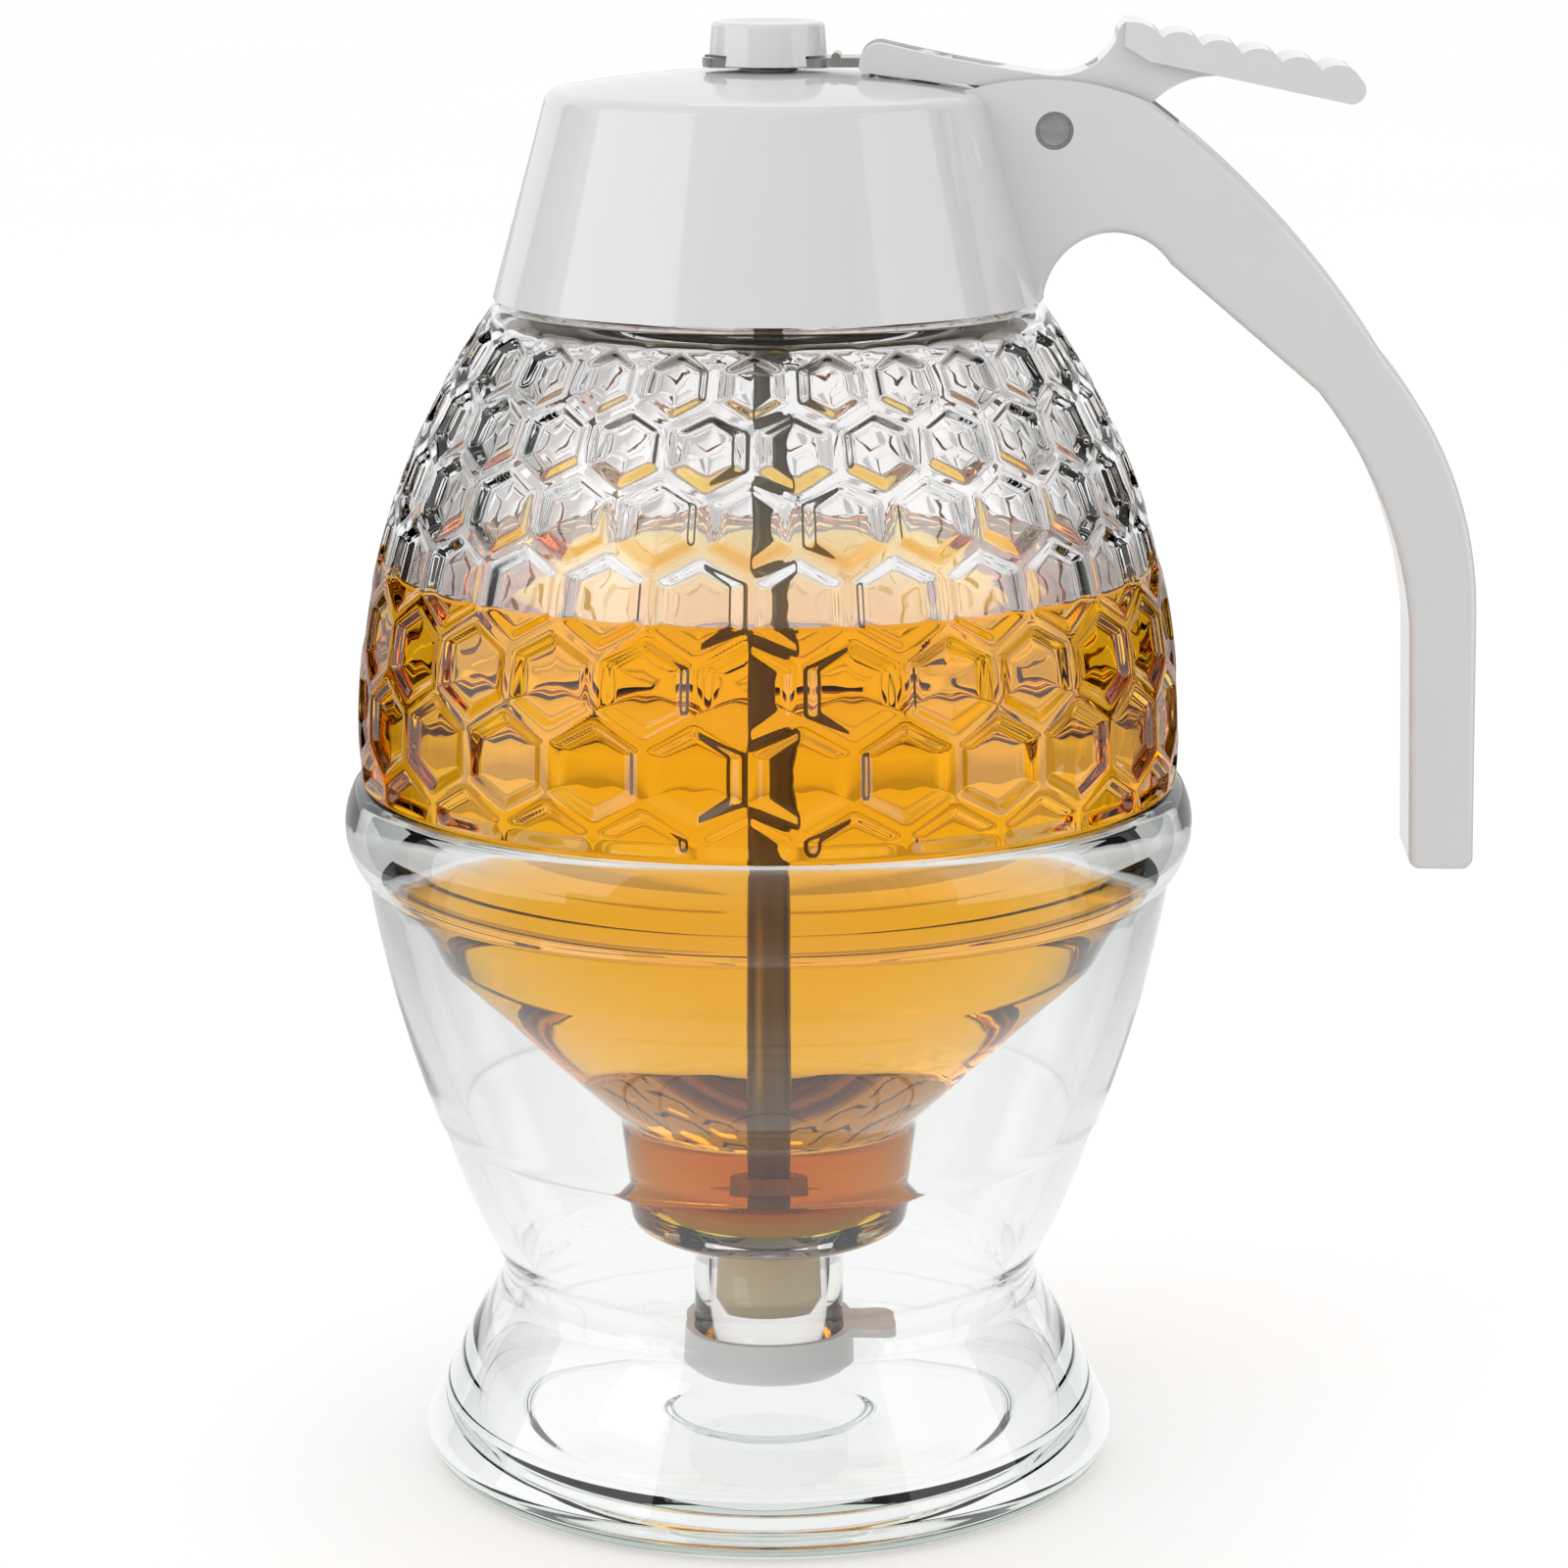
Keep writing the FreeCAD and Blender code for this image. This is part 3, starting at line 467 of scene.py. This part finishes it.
def cell_depth(height, angle):
    """How deep the honeycomb lies under the belly's surface at a point."""
    rise = math.asin((height - BELLY_Z) / BELLY_ARC_R)
    row = float(np.interp(rise, ROWS, range(-2, len(ROWS) - 2)))
    across = angle * CELL_COUNT / math.tau
    radius = belly_radius(height)
    pitch = math.tau * radius / CELL_COUNT
    best = 1e9
    for near in (math.floor(row), math.floor(row) + 1):
        shift = 0.5 * (near % 2)
        dx = across - shift
        dx -= round(dx)
        dy = (row - near) * HEX_TALL
        far = max(abs(dx), abs(0.5 * dx + HEX_TALL * dy), abs(0.5 * dx - HEX_TALL * dy))
        best = min(best, far)
    inside = (0.5 - best) * pitch
    slope = min(1.0, max(0.0, (inside - CELL_RIDGE) / CELL_SLOPE))
    slope = slope * slope * (3 - 2 * slope)
    hollow = max(0.0, min(1.0, inside / (0.5 * pitch)))
    dish = 1 - (1 - hollow) ** 2
    low_fade = min(1.0, max(0.0, (height - SEAT_Z - CELL_LOW_EDGE) / CELL_LOW_FADE))
    high_fade = min(1.0, max(0.0, (SHOULDER_Z - CELL_HIGH_EDGE - height) / CELL_HIGH_FADE))
    return (CELL_STEP * slope + CELL_DISH * dish * slope) * low_fade * high_fade


def jar_outer_low():
    """From the belly's foot down to the spout's end."""
    points = [
        (48.5, 0.0), (46.35, 0.0), ((44.1, -9.8), (39.8, -20.8)), (19.6, -41.0),
        ((18.6, -42.2), (18.2, -43.8)), (17.0, -54.0), ((16.4, -55.4), (14.8, -56.0)),
        (10.3, -56.0), (9.2, -57.0), (9.2, -72.0), (8.7, -72.5),
    ]
    return [shifted(p, SEAT_Z) for p in points]


def jar_inner_low():
    """From the spout's end up to where the belly's inside starts."""
    points = [
        (6.9, -72.5), (6.9, -56.0), (9.4, -53.8), (13.4, -53.8), (14.4, -52.8),
        (15.6, -42.8), (36.3, -20.2), ((41.0, -10.2), (43.75, -0.6)),
    ]
    return [shifted(p, SEAT_Z) for p in points]


def jar_inner_path():
    """The jar's lower inside with its arcs and eased corners."""
    return rounded(traced(jar_inner_low(), JAR_ARC_STEPS), INNER_BEND)


def shifted(point, z):
    """Outline point, or (middle, end) pair, in metres and raised by z."""
    if isinstance(point[0], tuple):
        return tuple(shifted(p, z) for p in point)
    return (point[0] * MM, z + point[1] * MM)


def jar_inner_high():
    """Inside of the belly, shoulder and neck."""
    top = SHOULDER_Z - 1.9 * MM
    low_z = SEAT_Z + 3.0 * MM
    high_z = top - 2.0 * MM
    belly = []
    for k in range(INNER_BELLY_POINTS):
        z = low_z + (high_z - low_z) * k / (INNER_BELLY_POINTS - 1)
        belly.append((belly_radius(z, JAR_WALL), z))
    r = belly[-1][0]
    inner_neck = NECK_R - NECK_WALL
    return belly + [
        (r - 1.1 * MM, top + 0.4 * MM), (r - 4.2 * MM, top + 0.8 * MM),
        (inner_neck + 1.2 * MM, top + 0.8 * MM), (inner_neck, top + 2.0 * MM),
        (inner_neck, JAR_TOP_Z - 0.5 * MM), (inner_neck + 0.5 * MM, JAR_TOP_Z),
        (NECK_R - 0.5 * MM, JAR_TOP_Z), (NECK_R, JAR_TOP_Z - 0.5 * MM),
    ]


def jar_neck():
    """Outside of the neck, with close rings where the thread runs."""
    high = THREAD_Z + THREAD_TURNS * THREAD_PITCH + THREAD_MARGIN
    low = THREAD_Z - THREAD_MARGIN
    rings = [(NECK_R, high + (low - high) * k / (THREAD_RINGS - 1)) for k in range(THREAD_RINGS)]
    return rings + [(NECK_R, SHOULDER_Z + 2.1 * MM), (NECK_R + 1.0 * MM, SHOULDER_Z + 1.1 * MM)]


def thread_height(height, angle):
    """How far the screw thread stands out of the neck at a point."""
    turn = ((angle - THREAD_START) % math.tau) / math.tau
    if turn > THREAD_TURNS:
        return 0.0
    away = abs(height - THREAD_Z - turn * THREAD_PITCH)
    slope = (THREAD_HALF - away) / THREAD_FLANK
    ends = min(turn, THREAD_TURNS - turn) / THREAD_RUNOUT
    return THREAD_DEPTH * min(1.0, max(0.0, slope)) * min(1.0, ends)


def shoulder_points():
    """The round bend between the neck and the belly."""
    r = belly_radius(SHOULDER_Z)
    return [
        (r - 2.3 * MM, SHOULDER_Z + 1.1 * MM), (r - 1.3 * MM, SHOULDER_Z + 1.0 * MM),
        (r - 0.6 * MM, SHOULDER_Z + 0.7 * MM),
    ]


def belly_points():
    """Outside of the belly before its cells, from the shoulder down."""
    low = SEAT_Z + 0.5 * MM
    heights = [SHOULDER_Z + (low - SHOULDER_Z) * k / BELLY_RINGS for k in range(BELLY_RINGS + 1)]
    return [(belly_radius(z), z) for z in heights]


def honey_wall():
    """Inside of the jar from the sump's floor up to the belly, a hair into the glass."""
    out = [p for p in jar_inner_path() if p[1] > SUMP_FLOOR_Z]
    out += [p for p in jar_inner_high()[:INNER_BELLY_POINTS] if p[1] < HONEY_LEVEL - 1.0 * MM]
    return [(r + HONEY_OVERLAP, z - HONEY_OVERLAP) for r, z in out]


def honey_outline():
    """The jar's fill above the sump, with the bent edge where it climbs the glass."""
    points = [p for p in honey_wall() if p[1] > SUMP_TOP_Z]
    edge = belly_radius(HONEY_LEVEL, JAR_WALL)
    low_edge = points[0][0] - (points[0][1] - SUMP_TOP_Z) * SUMP_TOP_LEAN
    return [(0.0, SUMP_TOP_Z), (low_edge, SUMP_TOP_Z)] + points + [
        (edge + HONEY_OVERLAP, HONEY_LEVEL + 0.5 * MM), (edge - 0.2 * MM, HONEY_LEVEL + 0.45 * MM),
        (edge - 0.9 * MM, HONEY_LEVEL + 0.12 * MM), (edge - 2.2 * MM, HONEY_LEVEL), (0.5 * edge, HONEY_LEVEL),
        (0.0, HONEY_LEVEL),
    ]


def sump_outline():
    """The fill in the sump under the funnel."""
    points = [p for p in honey_wall() if p[1] < SUMP_TOP_Z]
    top = SUMP_TOP_Z + HONEY_OVERLAP
    return [(0.0, points[0][1])] + points + [(points[-1][0], top), (0.0, top)]


def build_jar(glass, wet_glass):
    """The jar in clear glass, with its inner faces under the honey in a material of their own."""
    inner = jar_inner_path() + jar_inner_high()
    neck = jar_neck()
    shoulder = shoulder_points()
    belly = belly_points()
    lower = rounded(traced(jar_outer_low(), JAR_ARC_STEPS), OUTER_BEND)
    outline = inner + neck + shoulder + belly + lower
    first = len(inner) + len(neck) + len(shoulder)
    last = first + len(belly)

    def shape(index, radius, height, angle):
        if first <= index < last:
            return radius - cell_depth(height, angle)
        if len(inner) <= index < len(inner) + THREAD_RINGS:
            return radius + thread_height(height, angle)
        return radius

    mesh = lathe_mesh("jar_glass", outline, True, JAR_STEPS, shape)
    jar = add_object("jar_glass", mesh, [glass, wet_glass], "jar")
    wet_r = belly_radius(BELLY_Z, JAR_WALL) + WET_SLACK
    for face in mesh.polygons:
        ring = min(v // JAR_STEPS for v in face.vertices)
        if ring < len(inner) - 1 and WET_LOW_Z < face.center.z < HONEY_LEVEL:
            if math.hypot(face.center.x, face.center.y) < wet_r:
                face.material_index = 1
    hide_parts("glass_jar")


def build_honey():
    amber = honey_material("honey_amber", HONEY_DENSITY, HONEY_COLOUR)
    # Same honey with a much denser, redder depth colour: painted shade for the sump.
    shaded = honey_material("honey_painted_shade", SUMP_SHADE_DENSITY, SUMP_SHADE_COLOUR)
    fill = lathe_mesh("honey_fill", honey_outline(), False)
    add_object("honey_fill", fill, [amber], "jar")
    sump = lathe_mesh("honey_sump", sump_outline(), False)
    add_object("honey_sump", sump, [shaded], "jar")


# Stand
def stand_outline():
    """The stand's outside from the foot's middle up to the rim, and its inside back down."""
    outer = [
        (0.0, 0.0), (12.0, 0.0), (13.0, 1.2), (30.0, 1.2), (31.0, 0.0), (39.7, 0.0),
        ((41.6, 1.3), (42.3, 4.2)),
        ((37.4, 14.2), (33.7, 20.8)), ((32.7, 24.0), (33.7, 27.2)), ((37.1, 34.6), (39.9, 42.8)),
        (40.6, 43.6), ((45.37, 58.75), (48.45, 73.5)),
        ((51.05, 79.8), (49.85, 84.4)), (48.85, 85.1),
    ]
    inner = [
        (47.25, 85.1), (46.85, 84.5), (45.45, 73.5), ((42.37, 58.75), (36.9, 42.8)),
        ((34.1, 34.6), (30.7, 27.2)), ((29.7, 24.0), (30.7, 20.8)), ((34.2, 15.3), (37.1, 7.2)),
        ((36.5, 5.7), (34.7, 5.0)), (0.0, 5.0),
    ]
    scale = SEAT_Z / (STAND_DRAWN_H * MM)
    path = rounded(traced(outer + inner, STAND_ARC_STEPS), STAND_BEND)
    return [(r * MM, z * MM * scale) for r, z in path]


def build_stand(glass):
    mesh = lathe_mesh("stand_glass", stand_outline(), False)
    stand = add_object("stand_glass", mesh, [glass], "stand")
    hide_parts("glass_stand")


# Return spring. The real one shortens as the rod rises; this coil is built at one fixed length
def build_spring(mat):
    low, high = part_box("return_spring")
    coil_r = high[0] - SPRING_WIRE_R
    rise = high[2] - low[2] - 2 * SPRING_WIRE_R
    steps = SPRING_CURLS * SPRING_STEPS
    lean = math.atan2(rise, SPRING_CURLS * math.tau * coil_r)
    verts = []
    for k in range(steps + 1):
        turn = math.tau * k / SPRING_STEPS
        out = Vector((math.cos(turn), math.sin(turn), 0))
        ahead = Vector((-math.sin(turn) * math.cos(lean), math.cos(turn) * math.cos(lean), math.sin(lean)))
        side = ahead.cross(out)
        centre = out * coil_r + Vector((0, 0, low[2] + SPRING_WIRE_R + rise * k / steps))
        for j in range(SPRING_SIDES):
            bend = math.tau * j / SPRING_SIDES
            verts.append(centre + (out * math.cos(bend) + side * math.sin(bend)) * SPRING_WIRE_R)
    faces = [tuple(range(SPRING_SIDES)), tuple(range(steps * SPRING_SIDES, (steps + 1) * SPRING_SIDES))]
    for k in range(steps):
        for j in range(SPRING_SIDES):
            a, b = k * SPRING_SIDES + j, k * SPRING_SIDES + (j + 1) % SPRING_SIDES
            faces.append((a, b, b + SPRING_SIDES, a + SPRING_SIDES))
    mesh = bpy.data.meshes.new("spring_coil")
    mesh.from_pydata(verts, [], faces)
    fix_normals(mesh)
    mesh.shade_smooth()
    spring = add_object("spring_coil", mesh, [mat], "lid")
    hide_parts("return_spring")
    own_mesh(spring)


# The other pieces keep their own shapes and get a finish
def dress_nodes(mats):
    finish = {
        "lid_with_handle": "white", "trigger_lever": "white", "rod_knob": "white",
        "pivot_pin": "pin", "pin_sleeves": "chrome", "lift_fork": "steel", "fork_rivets": "steel",
        "valve_rod": "rod", "rod_washer": "steel", "rod_clip": "steel", "spring_washer": "steel",
        "stopper_washer": "steel", "stopper_nut": "steel",
        "rod_bush": "bush", "rod_seal": "seal", "lid_gasket": "seal",
        "valve_stopper": "cream", "spout_cap": "cap",
    }
    for name, key in finish.items():
        set_material(nodes[name], mats[key])


# Floor, backdrop, light and camera
def floor_material():
    """White floor with a soft shadow. Glass and gloss see it darker to the sides and in front."""
    mat, tree = new_material("pale_floor")
    speck = noise(tree, 3.0, 4.0)
    diffuse = add_node(tree, "ShaderNodeBsdfDiffuse")
    shade = colour_ramp(tree, speck.outputs["Fac"], (0.80, 0.80, 0.80), (0.82, 0.82, 0.82))
    link(tree, shade, diffuse.inputs["Color"])
    path = tree.nodes.new("ShaderNodeLightPath")
    lift = add_node(tree, "ShaderNodeMath", operation="MULTIPLY")
    lift.inputs[1].default_value = FLOOR_GLOW
    link(tree, path.outputs["Is Camera Ray"], lift.inputs[0])
    glow = add_node(tree, "ShaderNodeEmission")
    link(tree, lift.outputs[0], glow.inputs["Strength"])
    direct = tree.nodes.new("ShaderNodeAddShader")
    link(tree, diffuse.outputs[0], direct.inputs[0])
    link(tree, glow.outputs[0], direct.inputs[1])
    place = tree.nodes.new("ShaderNodeTexCoord")
    axes = tree.nodes.new("ShaderNodeSeparateXYZ")
    link(tree, place.outputs["Object"], axes.inputs[0])
    out_x = add_node(tree, "ShaderNodeMath", operation="ABSOLUTE")
    link(tree, axes.outputs["X"], out_x.inputs[0])
    sides = ramp(tree, out_x.outputs[0], 1.0, FLOOR_SIDE_SHARE, 0.05, 0.16)
    front = ramp(tree, axes.outputs["Y"], FLOOR_FRONT_SHARE, 1.0, -0.14, -0.03)
    share = add_node(tree, "ShaderNodeMath", operation="MULTIPLY")
    link(tree, sides, share.inputs[0])
    link(tree, front, share.inputs[1])
    seen = add_node(tree, "ShaderNodeEmission")
    link(tree, share.outputs[0], seen.inputs["Strength"])
    through = add_node(tree, "ShaderNodeMath", operation="ADD", use_clamp=True)
    link(tree, path.outputs["Is Glossy Ray"], through.inputs[0])
    link(tree, path.outputs["Is Transmission Ray"], through.inputs[1])
    mix = tree.nodes.new("ShaderNodeMixShader")
    link(tree, through.outputs[0], mix.inputs[0])
    link(tree, direct.outputs[0], mix.inputs[1])
    link(tree, seen.outputs[0], mix.inputs[2])
    surface_output(tree, mix.outputs[0])
    return mat


def build_floor():
    mesh = bpy.data.meshes.new("floor")
    h = FLOOR_HALF
    mesh.from_pydata([(-h, -h, 0), (h, -h, 0), (h, h, 0), (-h, h, 0)], [], [(0, 1, 2, 3)])
    floor = bpy.data.objects.new("floor", mesh)
    bpy.context.scene.collection.objects.link(floor)
    mesh.materials.append(floor_material())


def build_card(name, place, size, level, through):
    """Card that faces the axis. Gloss reflects it, and glass shows it where through is set."""
    mesh = bpy.data.meshes.new(name)
    w, h = size[0] / 2, size[1] / 2
    mesh.from_pydata([(-w, 0, -h), (w, 0, -h), (w, 0, h), (-w, 0, h)], [], [(0, 1, 2, 3)])
    card = bpy.data.objects.new(name, mesh)
    bpy.context.scene.collection.objects.link(card)
    card.location = place
    card.rotation_euler = (0, 0, math.atan2(place[1], place[0]) + math.pi / 2)
    mat, tree = new_material(name + "_face")
    glow = add_node(tree, "ShaderNodeEmission", Strength=level)
    surface_output(tree, glow.outputs[0])
    mesh.materials.append(mat)
    card.visible_camera = False
    card.visible_diffuse = False
    card.visible_shadow = False
    card.visible_transmission = through


def build_world():
    world = bpy.data.worlds.new("studio")
    bpy.context.scene.world = world
    world.use_nodes = True
    tree = world.node_tree
    tree.nodes.clear()
    path = tree.nodes.new("ShaderNodeLightPath")
    soft = add_node(tree, "ShaderNodeBackground", Color=(1, 1, 1, 1), Strength=WORLD_LIGHT)
    shown = add_node(tree, "ShaderNodeBackground", Strength=1.0)
    coords = tree.nodes.new("ShaderNodeTexCoord")
    axes = tree.nodes.new("ShaderNodeSeparateXYZ")
    link(tree, coords.outputs["Generated"], axes.inputs[0])
    front = ramp(tree, axes.outputs["Y"], 0.0, 1.0, 0.2, 0.75)
    link(tree, colour_ramp(tree, front, WORLD_FRONT, (1, 1, 1)), shown.inputs["Color"])
    direct = add_node(tree, "ShaderNodeMath", operation="ADD", use_clamp=True)
    seen = add_node(tree, "ShaderNodeMath", operation="ADD", use_clamp=True)
    link(tree, path.outputs["Is Camera Ray"], direct.inputs[0])
    link(tree, path.outputs["Is Glossy Ray"], direct.inputs[1])
    link(tree, direct.outputs[0], seen.inputs[0])
    link(tree, path.outputs["Is Transmission Ray"], seen.inputs[1])
    mix = tree.nodes.new("ShaderNodeMixShader")
    link(tree, seen.outputs[0], mix.inputs[0])
    link(tree, soft.outputs[0], mix.inputs[1])
    link(tree, shown.outputs[0], mix.inputs[2])
    out = tree.nodes.new("ShaderNodeOutputWorld")
    link(tree, mix.outputs[0], out.inputs["Surface"])


def area_light(name, place, aim, size, watts):
    data = bpy.data.lights.new(name, "AREA")
    data.shape = "RECTANGLE"
    data.size, data.size_y = size
    data.energy = watts
    light = bpy.data.objects.new(name, data)
    bpy.context.scene.collection.objects.link(light)
    light.location = place
    light.rotation_euler = (Vector(place) - Vector(aim)).to_track_quat("Z", "Y").to_euler()


def build_lights():
    aim = (0, 0, 0.10)
    area_light("key_left", (-0.62, -0.50, 0.42), aim, (0.40, 0.60), KEY_WATTS)
    area_light("fill_right", (0.60, -0.45, 0.30), aim, (0.25, 0.60), FILL_WATTS)
    area_light("top_back", (0.1, 0.40, 0.75), aim, (0.5, 0.3), TOP_WATTS)
    build_card("softbox_left", (-0.425, -0.147, 0.12), (0.36, 0.60), LEFT_SOFTBOX, False)
    build_card("softbox_right", (0.425, -0.147, 0.12), (0.34, 0.60), RIGHT_SOFTBOX, False)
    build_card("dark_left", (-0.22, 0.08, 0.10), (0.10, 0.30), DARK_CARD, True)
    build_card("dark_right", (0.20, 0.08, 0.10), (0.14, 0.30), DARK_CARD, True)


def build_camera():
    data = bpy.data.cameras.new("photo_camera")
    data.sensor_width = SENSOR_WIDTH
    data.lens = SENSOR_WIDTH * FOCAL_PX / FRAME_PX
    data.clip_start = 0.01
    data.clip_end = 100.0
    camera = bpy.data.objects.new("photo_camera", data)
    bpy.context.scene.collection.objects.link(camera)
    level = Vector((math.sin(CAMERA_AZIMUTH), -math.cos(CAMERA_AZIMUTH), 0))
    back = level * math.cos(CAMERA_ELEVATION) + Vector((0, 0, math.sin(CAMERA_ELEVATION)))
    right = Vector((math.cos(CAMERA_AZIMUTH), math.sin(CAMERA_AZIMUTH), 0))
    target = Vector((0, 0, TARGET_HEIGHT)) + right * TARGET_SIDE
    camera.matrix_world = Matrix.Translation(target + back * CAMERA_DISTANCE) @ Matrix(
        (right, back.cross(right), back)).transposed().to_4x4()
    bpy.context.scene.camera = camera


def main():
    scene = bpy.context.scene
    scene.view_settings.view_transform = "Standard"
    scene.cycles.max_bounces = 24
    scene.cycles.transmission_bounces = 20
    scene.cycles.transparent_max_bounces = 24
    build_camera()
    build_world()
    build_floor()
    build_lights()
    glass = glass_material("jar_clear_glass", GLASS_IOR)
    wet_glass = glass_material("glass_on_honey", WET_GLASS_IOR, 0.0)
    stand_mat = glass_material("stand_clear_glass", GLASS_IOR, body=STAND_BODY)
    mats = {
        "white": plastic_material("white_abs", (0.665, 0.665, 0.67), 0.05, 0.10),
        "cap": plastic_material("cap_white", (0.86, 0.86, 0.88), 0.35, 0.45),
        "bush": plastic_material("bush_acetal", (0.76, 0.76, 0.74), 0.35, 0.45),
        "steel": steel_material("drawn_steel", (0.56, 0.55, 0.53), 0.22, 0.36, (1, 1, 0.05)),
        "rod": steel_material("rod_steel", (0.26, 0.24, 0.21), 0.3, 0.45, (1, 1, 0.08)),
        "pin": steel_material("pin_end", (0.85, 0.85, 0.84), 0.25, 0.5, (1, 0.2, 1)),
        "chrome": steel_material("bright_ring", (0.80, 0.80, 0.80), 0.06, 0.12, (1, 0.2, 1)),
        "spring": steel_material("spring_wire", (0.42, 0.42, 0.42), 0.2, 0.32, (1, 1, 1)),
        "seal": silicone_material("seal_white", (0.8, 0.8, 0.78), 0.0),
        "cream": silicone_material("stopper_cream", (0.82, 0.68, 0.40), 0.1),
    }
    build_jar(glass, wet_glass)
    build_honey()
    build_stand(stand_mat)
    build_spring(mats["spring"])
    dress_nodes(mats)


main()
